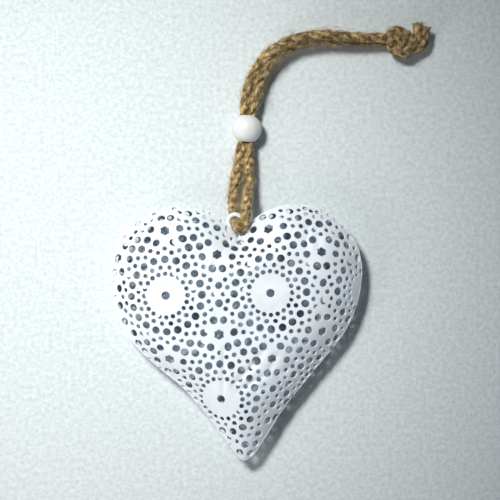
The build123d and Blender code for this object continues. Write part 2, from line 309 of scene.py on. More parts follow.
def close_up(piece, gap=0.00001):
    """Merge the points that meet and turn every face outwards."""
    select_only(piece)
    bpy.ops.object.mode_set(mode='EDIT')
    bpy.ops.mesh.select_all(action='SELECT')
    bpy.ops.mesh.remove_doubles(threshold=gap)
    bpy.ops.mesh.normals_make_consistent(inside=False)
    bpy.ops.object.mode_set(mode='OBJECT')


def apply_all(piece):
    select_only(piece)
    for change in list(piece.modifiers):
        bpy.ops.object.modifier_apply(modifier=change.name)


def remove(piece):
    select_only(piece)
    bpy.ops.object.delete()


def cut_away(piece, cutter, solver):
    cut = piece.modifiers.new("cut", 'BOOLEAN')
    cut.operation = 'DIFFERENCE'
    cut.solver = solver
    cut.object = cutter
    apply_all(piece)
    remove(cutter)


def rest_at_origin(piece):
    select_only(piece)
    bpy.ops.object.transform_apply(location=True, rotation=True, scale=True)


def smooth(piece, degrees):
    select_only(piece)
    bpy.ops.object.shade_smooth_by_angle(angle=math.radians(degrees))


def dress(piece, body, slot, *nodes):
    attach(piece, body)
    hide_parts(*nodes)
    return piece


def within(value, low=0.0, high=1.0):
    return max(low, min(high, value))


def around(degrees):
    turn = math.radians(degrees)
    return Vector((math.cos(turn), math.sin(turn)))


def facing_out(side, up, turn):
    return side * math.cos(turn) + up * math.sin(turn)


def smooth_curve(name, spots, order, resolution):
    """A curve with no thickness whose smooth spline has the spots as its control points."""
    curve = bpy.data.curves.new(name, 'CURVE')
    curve.dimensions = '3D'
    curve.resolution_u = resolution
    spline = curve.splines.new('NURBS')
    spline.points.add(len(spots) - 1)
    for point, spot in zip(spline.points, spots):
        point.co = (*spot, 1)
    spline.order_u = order
    spline.use_endpoint_u = True
    carrier = bpy.data.objects.new(name, curve)
    bpy.context.collection.objects.link(carrier)
    return carrier


def wrapped_grid(name, rings, rows):
    """A grid whose rows of points are laid on the rings; with as many rows as rings it closes on itself."""
    columns = len(rings[0])
    clear_selection()
    bpy.ops.mesh.primitive_grid_add(x_subdivisions=columns, y_subdivisions=rows, size=1.0)
    sheet = newest(name)
    for point in sheet.data.vertices:
        column = round((point.co.x + 0.5) * columns) % columns
        row = round((point.co.y + 0.5) * rows) % len(rings)
        point.co = rings[row][column]
    return sheet


# The heart's outline and its pressed crown

def smooth_line(spots, steps):
    """A rounded line that passes through every spot."""
    line = []
    for index in range(len(spots) - 1):
        first = spots[index]
        second = spots[index + 1]
        leaving = (second - spots[max(0, index - 1)]) / 2
        arriving = (spots[min(len(spots) - 1, index + 2)] - first) / 2
        for step in range(steps):
            part = step / steps
            square = part * part
            cube = square * part
            line.append(first * (2 * cube - 3 * square + 1) + leaving * (cube - 2 * square + part)
                        + second * (3 * square - 2 * cube) + arriving * (cube - square))
    line.append(spots[-1])
    return line


def even_line(spots, count):
    """The same line with its spots an even distance apart."""
    reach = [0.0]
    for first, second in zip(spots, spots[1:]):
        reach.append(reach[-1] + (second - first).length)
    line = []
    at = 0
    for step in range(count + 1):
        want = reach[-1] * step / count
        while at < len(spots) - 2 and reach[at + 1] < want:
            at += 1
        part = (want - reach[at]) / (reach[at + 1] - reach[at])
        line.append(spots[at].lerp(spots[at + 1], part))
    return line


def heart_rim(shape, turned):
    """The outline from the tip up one side to the cleft and back down the other; turned swaps the sides."""
    wide = shape.width / EDGE_WIDTH
    long = shape.length / EDGE_LENGTH
    sides = [[Vector((x * wide, y * long)) for x, y in edge] for edge in (RIGHT_EDGE, LEFT_EDGE)]
    if turned:
        sides = [[Vector((-spot.x, spot.y)) for spot in edge] for edge in reversed(sides)]
    line = smooth_line(sides[1][::-1] + sides[0][1:], EDGE_STEPS)
    tip = EDGE_STEPS * (len(sides[1]) - 1)
    right = even_line(line[tip:], RIM_SPOTS // 2)
    left = even_line(line[:tip + 1], RIM_SPOTS // 2)
    return right + left[1:-1]


def inset(outline, distance):
    """Each spot of the outline moved in by a distance, square to its two sides."""
    count = len(outline)
    moved = []
    for index, spot in enumerate(outline):
        before = (spot - outline[index - 1]).normalized()
        after = (outline[(index + 1) % count] - spot).normalized()
        left_before = Vector((-before.y, before.x))
        left_after = Vector((-after.y, after.x))
        joint = (left_before + left_after).normalized()
        moved.append(spot + joint * distance / max(0.45, joint.dot(left_after)))
    return moved


def inner_outline(outline, distance):
    """The outline drawn in by a distance, with as many spots and a clean point at the tip."""
    half = len(outline) // 2
    moved = inset(outline, distance)
    off_middle = 0.3 * MM
    sides = []
    tips = []
    for sign, spots in ((1, moved[:half + 1]), (-1, moved[:half - 1:-1])):
        kept = [spot for spot in spots if sign * spot.x > off_middle]
        slope = (kept[1].y - kept[0].y) / (kept[1].x - kept[0].x)
        tips.append(kept[0].y - slope * kept[0].x)
        sides.append(kept)
    tip = Vector((0.0, sum(tips) / 2))
    cleft = Vector((0.0, moved[half].y))
    right, left = [even_line([tip] + kept + [cleft], half) for kept in sides]
    return right + left[-2:0:-1]


class Pressing:
    """One pressed shell: where each spot of the flat sheet ends up on the dome."""

    def __init__(self, shape, turned):
        self.shape = shape
        self.rim = heart_rim(shape, turned)
        self.swell = inner_outline(self.rim, shape.flange)
        fine = even_line(self.swell + self.swell[:1], 4 * RIM_SPOTS)
        self.edge_spots = np.array([(spot.x, spot.y) for spot in fine[:-1]])
        self.edge_step = (fine[1] - fine[0]).length
        self.centre = Vector(CREST)
        self.base = SEAM_HEIGHT + HALF_SOLDER + shape.sheet
        self.depth = shape.shell_depth - SWELL_ROOM - shape.sheet

    def dome(self, flats):
        """Height of the smooth crown over flat spots, from how far the edge lies all round them."""
        flats = np.asarray(flats, float)
        gaps = flats[:, None, :] - self.edge_spots[None, :, :]
        pull = (self.edge_step / (gaps ** 2).sum(axis=2)).sum(axis=1)
        inward = math.pi / pull
        return self.depth * np.sin(np.minimum(1.0, inward / CROWN_REACH) * math.pi / 2)

    def relief(self, spot):
        """Swells, creases and shallow dents that the pressing left in the sheet."""
        x = spot.x / MM
        y = spot.y / MM
        lift = 0.0
        for height, spread, level in SWELLS:
            lift += height * noise.noise(Vector((x / spread, y / spread, level)))
        for start_x, start_y, end_x, end_y, depth, spread in CREASES:
            along = Vector((end_x - start_x, end_y - start_y))
            to_spot = Vector((x - start_x, y - start_y))
            part = to_spot.dot(along) / along.length_squared
            if -CREASE_RUN < part < 1 + CREASE_RUN:
                off = abs(to_spot.x * along.y - to_spot.y * along.x) / along.length
                fade = within(CREASE_FADE * min(part + CREASE_RUN, 1 + CREASE_RUN - part))
                lift -= depth * fade * math.exp(-(off / spread) ** 1.5)
        for dent_x, dent_y, depth, spread in DENTS:
            far = math.hypot(x - dent_x, y - dent_y) / spread
            lift -= depth * math.exp(-far * far)
        return lift * MM

    def skin(self, flats):
        """Places on the outer face over flat spots, with the crown and its relief."""
        places = []
        for flat, height in zip(flats, self.dome([(flat.x, flat.y) for flat in flats])):
            fade = min(1.0, height / (0.35 * self.depth))
            places.append(Vector((flat.x, flat.y, self.base + height + fade * self.relief(flat))))
        return places

    def foot(self, spot):
        """Where the ray from the crest through a spot meets the foot of the dome."""
        ray = spot - self.centre
        count = len(self.swell)
        for index in range(count):
            first = self.swell[index] - self.centre
            second = self.swell[(index + 1) % count] - self.centre
            side = second - first
            cross = ray.x * side.y - ray.y * side.x
            if abs(cross) < 1e-15:
                continue
            reach = (first.x * side.y - first.y * side.x) / cross
            part = (first.x * ray.y - first.y * ray.x) / cross
            if reach > 0 and -1e-9 <= part <= 1 + 1e-9:
                return self.centre + ray * reach
        raise RuntimeError("the outline of the heart is not closed")

    def settle(self, flat):
        """The place and normal on the dome of a spot of the flat sheet, or None past its edge."""
        ray = self.foot(flat) - self.centre
        shares = np.linspace(0.0, 0.997, 70)
        line = [self.centre + ray * share for share in shares]
        heights = self.dome([(spot.x, spot.y) for spot in line])
        steps = np.hypot(np.diff(shares) * ray.length, np.diff(heights))
        gone = np.concatenate(([0.0], np.cumsum(steps)))
        want = (flat - self.centre).length
        if want > gone[-1]:
            past = want - gone[-1]
            if past > self.shape.flange + 0.5 * MM:
                return None
            out = self.centre + ray + ray.normalized() * past
            return Vector((out.x, out.y, self.base)), Vector((0, 0, 1))
        spot = self.centre + ray * float(np.interp(want, gone, shares))
        step = 0.12 * MM
        beside = [spot, spot + Vector((step, 0)), spot - Vector((step, 0)),
                  spot + Vector((0, step)), spot - Vector((0, step))]
        place, right, left, up, down = self.skin(beside)
        return place, (right - left).cross(up - down).normalized()


def lace_holes():
    """The sheet's lace: daisies in staggered rows with stars at the corners of their cells."""
    for row in range(-3, 4):
        for column in range(-3, 4):
            shift = column + 0.5 * (row % 2)
            middle = Vector((FIRST_DAISY[0] + DAISY_PITCH[0] * shift, FIRST_DAISY[1] + DAISY_PITCH[1] * row))
            yield middle, 'eyelet'
            for turn in range(0, 360, DAISY_TURN):
                for radius, offset, kind in DAISY_RINGS:
                    yield middle + around(turn + offset) * radius, kind
            for side in (1, -1):
                star = middle + Vector((0, STAR_DISTANCE * side))
                yield star, 'star'
                for turn in STAR_RING_TURNS:
                    yield star + around(turn * side) * STAR_RING, 'large'
                yield middle + Vector((PAIR_PLACE[0], PAIR_PLACE[1] * side)), 'large'
                edge = middle + Vector((CELL_EDGE[0] * side, CELL_EDGE[1]))
                slant = Vector((CELL_SLANT[0], CELL_SLANT[1] * side))
                across = Vector((-slant.y, slant.x))
                for hand in (1, -1):
                    yield edge + slant * 3.0 * hand, 'large'
                    yield edge + across * 1.8 * hand, 'large'


# The punches that pierce the sheet, modelled once and copied to every hole

def flared_punch(name, radius, sides, sheet, paint):
    """A round punch that leaves a small rounded lip at the outer face of the sheet."""
    clear_selection()
    bpy.ops.mesh.primitive_cylinder_add(
        vertices=sides, radius=radius, depth=PUNCH_LENGTH, end_fill_type='NGON')
    punch = newest(name)
    bpy.ops.object.mode_set(mode='EDIT')
    for level in LIP_LEVELS:
        bpy.ops.mesh.select_all(action='SELECT')
        bpy.ops.mesh.bisect(plane_co=(0, 0, level * sheet), plane_no=(0, 0, 1), use_fill=False)
    bpy.ops.object.mode_set(mode='OBJECT')
    grow = 1 + LIP_FLARE * sheet / radius
    for point in punch.data.vertices:
        if point.co.z > 0:
            point.co.x *= grow
            point.co.y *= grow
    punch.data.materials.append(paint)
    return punch


def star_punch(name, span, sheet, paint):
    """A punch with six points, drawn in at the waists between them."""
    punch = flared_punch(name, span / 2, 12, sheet, paint)
    for point in punch.data.vertices:
        turn = math.degrees(math.atan2(point.co.x, point.co.y)) % 60
        if 20 < turn < 40:
            point.co.x *= STAR_WAIST
            point.co.y *= STAR_WAIST
    return punch


def half_closed_punch(name, whole, shift):
    """A punch whose slug stayed hanging in the hole, so that only a crescent or a half is open."""
    select_only(whole)
    bpy.ops.object.duplicate()
    punch = newest(name)
    radius = max(point.co.x for point in whole.data.vertices)
    clear_selection()
    bpy.ops.mesh.primitive_cylinder_add(
        vertices=14, radius=radius * 1.02, depth=6 * MM, location=(shift * radius, 0, 0))
    cut_away(punch, newest(name + "_slug"), 'EXACT')
    return punch


def copy_to(punch, place, normal, turn, chance, wobble):
    """A copy of a punch over one hole, a little stretched, as no two strokes are quite alike."""
    copy = bpy.data.objects.new(punch.name + "_copy", punch.data.copy())
    bpy.context.collection.objects.link(copy)
    tilt = Vector((0, 0, 1)).rotation_difference(normal).to_matrix().to_4x4()
    size = chance.gauss(1.0, wobble)
    stretch = chance.gauss(1.0, wobble)
    lean = Matrix.Rotation(chance.uniform(0, math.pi), 4, 'Z')
    uneven = lean @ Matrix.Diagonal((size * stretch, size / stretch, 1, 1)) @ lean.inverted()
    copy.data.transform(Matrix.Translation(place) @ tilt @ uneven @ Matrix.Rotation(turn, 4, 'Z'))
    return copy


def all_punches(pressing, paint):
    """Every punch of the lace in its place on the shell, joined into one cutter."""
    shape = pressing.shape
    chance = random.Random(SEED)
    radii = {'large': shape.large_hole / 2, 'small': shape.small_hole / 2,
             'eyelet': EYELET_RADIUS, 'star': STAR_RADIUS}
    whole = {kind: flared_punch(kind + "_punch", radii[kind], sides, shape.sheet, paint)
             for kind, sides in (('large', 16), ('eyelet', 16), ('small', 12))}
    whole['star'] = star_punch("star_punch", shape.star_hole, shape.sheet, paint)
    closed = {kind: [half_closed_punch(kind + "_half", whole[kind], shift) for shift in shifts]
              for kind, shifts in SLUG_SHIFTS.items()}
    taken = []
    copies = []
    for middle, kind in sorted(lace_holes(), key=lambda hole: HOLE_ORDER.index(hole[1])):
        flat = middle * MM
        if abs(flat.x) > LACE_HALF_SPAN[0] or abs(flat.y) > LACE_HALF_SPAN[1]:
            continue
        settled = pressing.settle(flat)
        if settled is None:
            continue
        place, normal = settled
        if any((place - other).length < radii[kind] + reach + HOLE_GAP for other, reach in taken):
            continue
        taken.append((place, radii[kind]))
        shut = chance.random() < CLOSED_SHARE[kind]
        punch = chance.choice(closed[kind] if shut else [whole[kind]])
        turn = 0.0 if kind == 'star' else math.radians(chance.gauss(*SLUG_TURN))
        wobble = 0.0 if kind == 'eyelet' else STROKE_WOBBLE
        copies.append(copy_to(punch, place, normal, turn, chance, wobble))
    select_only(*copies)
    bpy.ops.object.join()
    punches = newest("all_punches")
    for made in (*whole.values(), *closed['large'], *closed['small']):
        remove(made)
    return punches


# The materials

class NodeBench:
    """A node tree in the making, with the few nodes that the finishes share."""

    def __init__(self, tree):
        self.nodes = tree.nodes
        self.links = tree.links

    def object_place(self):
        return self.nodes.new('ShaderNodeTexCoord').outputs['Object']

    def noise_texture(self, place, detail, roughness=0.5, scale=1.0):
        texture = self.nodes.new('ShaderNodeTexNoise')
        texture.inputs['Scale'].default_value = scale
        texture.inputs['Detail'].default_value = detail
        texture.inputs['Roughness'].default_value = roughness
        self.links.new(place, texture.inputs['Vector'])
        return texture

    def ranged(self, source, given=(0.0, 1.0), wanted=(0.0, 1.0)):
        """A value carried over from the given span to the wanted one."""
        span = self.nodes.new('ShaderNodeMapRange')
        for label, value in zip(('From Min', 'From Max', 'To Min', 'To Max'), (*given, *wanted)):
            span.inputs[label].default_value = value
        self.links.new(source, span.inputs['Value'])
        return span.outputs['Result']

    def mixed(self, factor, first, second):
        """A colour between two plain ones."""
        mix = self.nodes.new('ShaderNodeMix')
        mix.data_type = 'RGBA'
        mix.inputs['A'].default_value = (*first, 1)
        mix.inputs['B'].default_value = (*second, 1)
        self.links.new(factor, mix.inputs['Factor'])
        return mix.outputs['Result']

    def multiplied(self, first, second):
        mix = self.nodes.new('ShaderNodeMix')
        mix.data_type = 'RGBA'
        mix.blend_type = 'MULTIPLY'
        mix.inputs['Factor'].default_value = 1.0
        self.links.new(first, mix.inputs['A'])
        self.links.new(second, mix.inputs['B'])
        return mix.outputs['Result']


class Finish(NodeBench):
    """A material in the making and its one shader."""

    def __init__(self, name):
        material = bpy.data.materials.new(name)
        material.use_nodes = True
        super().__init__(material.node_tree)
        self.shader = self.nodes['Principled BSDF']

    def feed(self, label, source):
        self.links.new(source, self.shader.inputs[label])

    def plain(self, label, value):
        self.shader.inputs[label].default_value = value

    def bumped(self, height, strength, distance):
        bump = self.nodes.new('ShaderNodeBump')
        bump.inputs['Strength'].default_value = strength
        bump.inputs['Distance'].default_value = distance
        self.links.new(height, bump.inputs['Height'])
        self.feed('Normal', bump.outputs['Normal'])


def darker(colour, share):
    return tuple(part * share for part in colour)


def mottling_group(name):
    """Cloudy mottling with fine grain in it: a mask and a height, from Object coordinates."""
    group = bpy.data.node_groups.new(name, 'ShaderNodeTree')
    for label in ("Coarse", "Fine"):
        group.interface.new_socket(name=label, in_out='INPUT', socket_type='NodeSocketFloat')
    for label in ("Mottle", "Grain"):
        group.interface.new_socket(name=label, in_out='OUTPUT', socket_type='NodeSocketFloat')
    bench = NodeBench(group)
    entry = bench.nodes.new('NodeGroupInput')
    leave = bench.nodes.new('NodeGroupOutput')
    place = bench.object_place()
    clouds = bench.noise_texture(place, 4, 0.55)
    grains = bench.noise_texture(place, 3)
    bench.links.new(entry.outputs["Coarse"], clouds.inputs['Scale'])
    bench.links.new(entry.outputs["Fine"], grains.inputs['Scale'])
    bench.links.new(bench.ranged(clouds.outputs['Fac'], given=(0.34, 0.66)), leave.inputs['Mottle'])
    bench.links.new(grains.outputs['Fac'], leave.inputs['Grain'])
    return group


def mottled_finish(name, group, colour, rough, coarse, fine, shade=0.91, bump=(0.25, 0.00012), metal=0.0):
    """Paint, lacquer or tin: a cloudy tone with fine grain in its gloss and its surface."""
    finish = Finish(name)
    spot = finish.nodes.new('ShaderNodeGroup')
    spot.node_tree = group
    spot.inputs['Coarse'].default_value = coarse
    spot.inputs['Fine'].default_value = fine
    finish.feed('Base Color', finish.mixed(spot.outputs['Mottle'], darker(colour, shade), colour))
    finish.feed('Roughness', finish.ranged(spot.outputs['Grain'], wanted=rough))
    finish.plain('Metallic', metal)
    finish.bumped(spot.outputs['Grain'], *bump)


def jute_finish(name, pale, dark):
    """Twisted fibres that run along each ply, bleached in patches, with painted shade in the grooves and
    towards the knot.
    """
    finish = Finish(name)
    place = finish.nodes.new('ShaderNodeUVMap')
    place.uv_map = "fibres"
    stretch = finish.nodes.new('ShaderNodeMapping')
    stretch.inputs['Scale'].default_value = (17, 2.4, 1)
    finish.links.new(place.outputs['UV'], stretch.inputs['Vector'])
    streaks = finish.noise_texture(stretch.outputs['Vector'], 5, 0.65)
    ramp = finish.nodes.new('ShaderNodeValToRGB')
    stops = ramp.color_ramp.elements
    stops[0].position = 0.34
    stops[0].color = (*dark, 1)
    stops[1].position = 0.55
    stops[1].color = (*pale, 1)
    stops.new(0.43).color = (*[0.42 * a + 0.58 * b for a, b in zip(pale, dark)], 1)
    finish.links.new(streaks.outputs['Fac'], ramp.inputs['Fac'])
    # Painted shade: the jute is darkened where its plies face into the grooves, and towards the knot.
    groove = finish.nodes.new('ShaderNodeAttribute')
    groove.attribute_name = "painted_shade"
    groove_shade = finish.mixed(groove.outputs['Fac'], (0.22, 0.15, 0.08), (1.0, 1.0, 1.0))
    patches = finish.noise_texture(finish.object_place(), 2, scale=620)
    worn = finish.ranged(patches.outputs['Fac'], given=(0.38, 0.59))
    bleached = finish.mixed(worn, (0.34, 0.27, 0.18), (1.13, 1.15, 1.20))
    shaded = finish.multiplied(ramp.outputs['Color'], groove_shade)
    finish.feed('Base Color', finish.multiplied(shaded, bleached))
    finish.plain('Roughness', 0.82)
    finish.plain('Sheen Weight', 0.25)
    finish.bumped(streaks.outputs['Fac'], 0.7, 0.00035)


def felt_finish(name, colour):
    """Short fluff of uneven tone."""
    finish = Finish(name)
    fluff = finish.noise_texture(finish.object_place(), 5, 0.7, scale=700)
    tone = finish.mixed(fluff.outputs['Fac'], darker(colour, 0.50), darker(colour, 1.20))
    finish.feed('Base Color', tone)
    finish.plain('Roughness', 0.95)
    finish.plain('Specular IOR Level', 0.1)
    finish.bumped(fluff.outputs['Fac'], 0.5, 0.0006)


def make_finishes():
    colours = settings().colours
    paint = tuple(colours.paint)
    group = mottling_group("paint_mottling")
    mottled_finish("white_tin_paint", group, paint, (0.34, 0.55), 160, 2600)
    mottled_finish("eye_white_paint", group, paint, (0.32, 0.5), 300, 2600)
    mottled_finish("bead_white_lacquer", group, tuple(colours.lacquer), (0.3, 0.42), 250, 1800)
    mottled_finish("painted_solder", group, darker(paint, 0.8), (0.4, 0.6), 500, 2400)
    # The inside tin is bare tin whose colour is darkened and tinted blue as painted shade in the holes.
    mottled_finish("inside_tin_and_shade", group, tuple(colours.tin), (0.45, 0.7), 180, 1400,
                   shade=0.6, bump=(0.2, 0.0001), metal=0.4)
    jute_finish("twisted_jute", tuple(colours.jute_light), tuple(colours.jute_dark))
    jute_finish("loose_jute", tuple(colours.hair_light), tuple(colours.hair_dark))
    felt_finish("pale_felt", tuple(colours.floor))


def finish_named(name):
    if name not in bpy.data.materials:
        make_finishes()
    return bpy.data.materials[name]


# The twine: plies laid round the points of its smooth route, with loose fibres

def route_points(name, spots):
    """Points of the route's smooth spline, read from a curve with no thickness."""
    carrier = smooth_curve(name, [(x * MM, y * MM, z * MM) for x, y, z in spots], 3, 14)
    curve = carrier.data
    bpy.context.view_layer.update()
    mesh = bpy.data.meshes.new_from_object(carrier)
    points = [point.co.copy() for point in mesh.vertices]
    bpy.data.meshes.remove(mesh)
    bpy.data.objects.remove(carrier)
    bpy.data.curves.remove(curve)
    return points


def frames_along(points):
    """Distance, place, direction and a steady pair of sideways directions at each point of a line."""
    count = len(points)
    reach = 0.0
    side = None
    frames = []
    for index, point in enumerate(points):
        ahead = points[min(index + 1, count - 1)]
        behind = points[max(index - 1, 0)]
        along = (ahead - behind).normalized()
        if side is None:
            side = along.orthogonal().normalized()
        else:
            reach += (point - points[index - 1]).length
            side = (side - along * side.dot(along)).normalized()
        frames.append((reach, point, along, side, along.cross(side)))
    return frames


def shade_towards_knot(point):
    """Painted shade: the twine is darker towards the knot than at the eye."""
    return 1.0 - 0.22 * within((point.x / MM - 12) / 38)


class MeshParts:
    """Vertices, faces, fibre coordinates, painted shade values and finishes that become one mesh."""

    def __init__(self):
        self.points = []
        self.faces = []
        self.fibres = []
        self.painted_shade = []
        self.kinds = []

    def tube(self, line, radii, sides, axis_line=None, seed=0.0, rough=0.0, kind=0):
        """A closed tube along a line; where it is a ply, its painted shade darkens the sides that face in to
        the axis.
        """
        first = len(self.points)
        frames = frames_along(line)
        for index, (reach, point, along, side, up) in enumerate(frames):
            for step in range(sides):
                facing = facing_out(side, up, math.tau * step / sides)
                ridge = 1.0
                if rough:
                    level = reach / MM / 1.6
                    ridge += rough * noise.noise(Vector((3.1 * facing.x + seed, 3.1 * facing.y, level)))
                self.points.append(point + facing * radii[index] * ridge)
                # Painted shade: a ply is darker where it faces in to the rope's axis, and all jute is darker
                # towards the knot.
                value = 1.0
                if axis_line is not None:
                    away = (point - axis_line[index]).normalized()
                    value = within(0.16 + 0.95 * facing.dot(away))
                self.painted_shade.append(value * shade_towards_knot(point))
        for index in range(len(line) - 1):
            start = first + index * sides
            low = frames[index][0] / MM * FIBRES_PER_MM
            high = frames[index + 1][0] / MM * FIBRES_PER_MM
            for step in range(sides):
                after = (step + 1) % sides
                self.faces.append((start + step, start + after, start + sides + after, start + sides + step))
                self.kinds.append(kind)
                left = step / sides
                right = (step + 1) / sides
                for across, far in ((left, low), (right, low), (right, high), (left, high)):
                    self.fibres.append((across + far * FIBRE_SKEW + seed, far * FIBRE_STRETCH + seed))
        for start, order in ((first, 1), (first + (len(line) - 1) * sides, -1)):
            ring = list(range(start, start + sides))[::-order]
            self.faces.append(tuple(ring))
            self.kinds.append(kind)
            self.fibres.extend([(seed, 0.0)] * sides)

    def piece(self, name):
        mesh = bpy.data.meshes.new(name)
        mesh.from_pydata([tuple(point) for point in self.points], [], self.faces)
        layer = mesh.uv_layers.new(name="fibres")
        for spot, value in zip(layer.data, self.fibres):
            spot.uv = value
        values = mesh.attributes.new("painted_shade", 'FLOAT', 'POINT')
        for spot, value in zip(values.data, self.painted_shade):
            spot.value = value
        for finish in ("twisted_jute", "loose_jute"):
            mesh.materials.append(finish_named(finish))
        mesh.polygons.foreach_set("use_smooth", [True] * len(mesh.polygons))
        mesh.polygons.foreach_set("material_index", self.kinds)
        mesh.update()
        piece = bpy.data.objects.new(name, mesh)
        bpy.context.collection.objects.link(piece)
        return piece


def lay_rope(parts, line, thickness, lay, phase, seed, yarns, squeeze=None):
    """Plies of uneven thickness twisted round a line, with yarns that stand out on them."""
    radius = thickness / 2
    frames = frames_along(line)
    axis = [at[1] for at in frames]
    chance = random.Random(int(seed * 10))
    for ply in range(PLIES):
        path = []
        radii = []
        for reach, point, along, side, up in frames:
            uneven = noise.noise(Vector((reach / MM / 2.6, seed * 7.3, ply * 5.1)))
            wander = noise.noise(Vector((reach / MM / 5.0, seed * 3.7 + 20, ply * 2.9)))
            tight = 1.0 if squeeze is None else squeeze(point)
            turn = phase + math.tau * (reach / lay + ply / PLIES) + 0.75 * wander
            out = radius * PLY_OFFSET * tight * (1 + 0.25 * wander)
            path.append(point + out * facing_out(side, up, turn))
            radii.append(radius * PLY_RADIUS * tight * (1 + 0.18 * uneven))
        parts.tube(path, radii, PLY_SIDES, axis_line=axis, seed=seed + ply * 1.7, rough=PLY_ROUGHNESS)
        for _ in range(yarns // PLIES):
            lay_yarn(parts, frames_along(path), radii, axis, chance)


def lay_yarn(parts, frames, radii, axis, chance):
    """A thin yarn that lies on a ply, turns slowly round it and dives back in at its ends."""
    step_length = frames[-1][0] / (len(frames) - 1)
    count = min(len(frames) - 1, max(6, int(chance.uniform(2.5, 9.0) * MM / step_length)))
    start = chance.randrange(0, len(frames) - count)
    turn = chance.uniform(0, math.tau)
    rate = chance.uniform(-0.75, -0.15) / MM
    stand = chance.uniform(0.93, 1.08)
    thick = chance.uniform(0.05, 0.12) * MM
    path = []
    middle = []
    sizes = []
    for index in range(start, start + count, max(1, count // 12)):
        reach, point, along, side, up = frames[index]
        part = (index - start) / count
        angle = turn + rate * (reach - frames[start][0])
        out = radii[index] * (stand - 0.16 * (2 * part - 1) ** 4)
        path.append(point + out * facing_out(side, up, angle))
        middle.append(axis[index])
        sizes.append(thick * (0.45 + 0.55 * math.sin(math.pi * (0.08 + 0.84 * part))))
    if len(path) > 3:
        parts.tube(path, sizes, 4, axis_line=middle, seed=chance.uniform(0, 40))


def loose_fibres(parts, line, thickness, lay, count, seed, lift, longest, close, keep_off=None):
    """Hairs that leave the twine at a slant and arch back or stand off."""
    chance = random.Random(seed)
    frames = frames_along(line)
    step_length = frames[-1][0] / (len(frames) - 1)
    for _ in range(count):
        start = chance.randrange(0, len(frames) - 6)
        span = max(5, int(chance.uniform(0.2, 1.0) * longest * MM / step_length))
        turn = chance.uniform(0, math.tau)
        rate = math.tau / lay * chance.uniform(-1.2, 2.4)
        rise = chance.uniform(0.15, 1.0) ** close * lift * MM
        loose = chance.random() < 0.6
        path = []
        for index in range(start, min(len(frames), start + span), max(1, span // 7)):
            reach, point, along, side, up = frames[index]
            part = (index - start) / span
            high = rise * (part ** 1.4 if loose else math.sin(math.pi * part))
            angle = turn + rate * (reach - frames[start][0])
            spot = point + (thickness * 0.50 + high) * facing_out(side, up, angle)
            spot.z = max(spot.z, 0.1 * MM)
            path.append(spot)
        if len(path) < 3 or (keep_off is not None and any(keep_off(spot) for spot in path)):
            continue
        thick = chance.uniform(0.032, 0.06) * MM
        radii = [thick * (1.0 - 0.5 * step / len(path)) for step in range(len(path))]
        parts.tube(path, radii, 3, seed=chance.uniform(0, 40), kind=1)


def fray(parts, line, thickness, chance):
    """Bristles of yarn that run along a cut end and spread past it."""
    frames = frames_along(line)
    count = len(frames)
    for _ in range(END_BRISTLES):
        first = chance.randrange(count // 4, count - 8)
        turn = chance.uniform(0, math.tau)
        thin = chance.random() < 0.4
        spread = chance.uniform(-0.4, 1.0 if thin else 0.5)
        past = chance.uniform(0.2, 2.2 if thin else 1.6) * MM
        out = thickness * chance.uniform(0.15, 0.50)
        path = []
        for index in range(first, count, max(1, (count - first) // 5)):
            reach, point, along, side, up = frames[index]
            path.append(point + out * facing_out(side, up, turn))
        reach, point, along, side, up = frames[-1]
        facing = facing_out(side, up, turn)
        for step in (1, 2, 3):
            away = out + spread * past * (step / 3) ** 1.5
            path.append(point + along * past * step / 3 + facing * away)
        thick = chance.uniform(0.03, 0.05) * MM if thin else chance.uniform(0.06, 0.12) * MM
        radii = [thick * (1 - 0.45 * step / len(path)) for step in range(len(path))]
        parts.tube(path, radii, 3, seed=chance.uniform(0, 40), kind=chance.choice((0, 0, 1)))


def squeezed(point):
    """Strands draw together where the bead and the eye hold them."""
    from_bead = abs((point - BEAD_MIDDLE).dot(BEAD_AXIS)) / MM
    from_eye = (point - EYE_MIDDLE).length / MM
    in_bead = 0.80 + 0.20 * within((from_bead - 3.5) / 2.0)
    in_eye = 0.76 + 0.24 * within((from_eye - 1.5) / 2.5)
    return min(in_bead, in_eye)


def inside_bead(point):
    return (point - BEAD_MIDDLE).length < BEAD_CLEAR


# The operators

def aim_light(light, spot):
    aim = Vector(spot) - light.location
    light.rotation_euler = aim.to_track_quat('-Z', 'Y').to_euler()


class TINHEART_OT_stage(bpy.types.Operator):
    """Lay the pale floor, hang the lights and set the camera over the ornament"""

    bl_idname = "tinheart.stage"
    bl_label = "Stage"

    def execute(self, context):
        clear_selection()
        bpy.ops.mesh.primitive_grid_add(x_subdivisions=24, y_subdivisions=24, size=1.6, location=(0, 0, 0))
        floor = newest("pale_floor")
        floor.data.materials.append(finish_named("pale_felt"))
        world = bpy.data.worlds.new("soft_room")
        context.scene.world = world
        world.use_nodes = True
        backdrop = world.node_tree.nodes['Background']
        backdrop.inputs['Color'].default_value = (0.80, 0.91, 1.0, 1)
        backdrop.inputs['Strength'].default_value = 0.09
        bpy.ops.object.light_add(type='SPOT', location=KEY_PLACE)
        key = newest("window_light")
        key.data.energy = 32
        key.data.color = (0.965, 1.0, 0.995)
        key.data.spot_size = math.radians(28.5)
        key.data.spot_blend = 1.0
        key.data.shadow_soft_size = 0.09
        aim_light(key, KEY_AIM)
        bpy.ops.object.light_add(type='AREA', location=SIDE_PLACE)
        side = newest("side_light")
        side.data.shape = 'DISK'
        side.data.size = 0.16
        side.data.energy = 0.22
        aim_light(side, SIDE_AIM)
        bpy.ops.object.camera_add(location=CAMERA_PLACE, rotation=(0, 0, CAMERA_TURN))
        camera = newest("photo_camera")
        camera.data.lens = 156
        camera.data.sensor_width = 36
        camera.data.clip_start = 0.01
        context.scene.camera = camera
        context.scene.view_settings.view_transform = 'Standard'
        return {'FINISHED'}


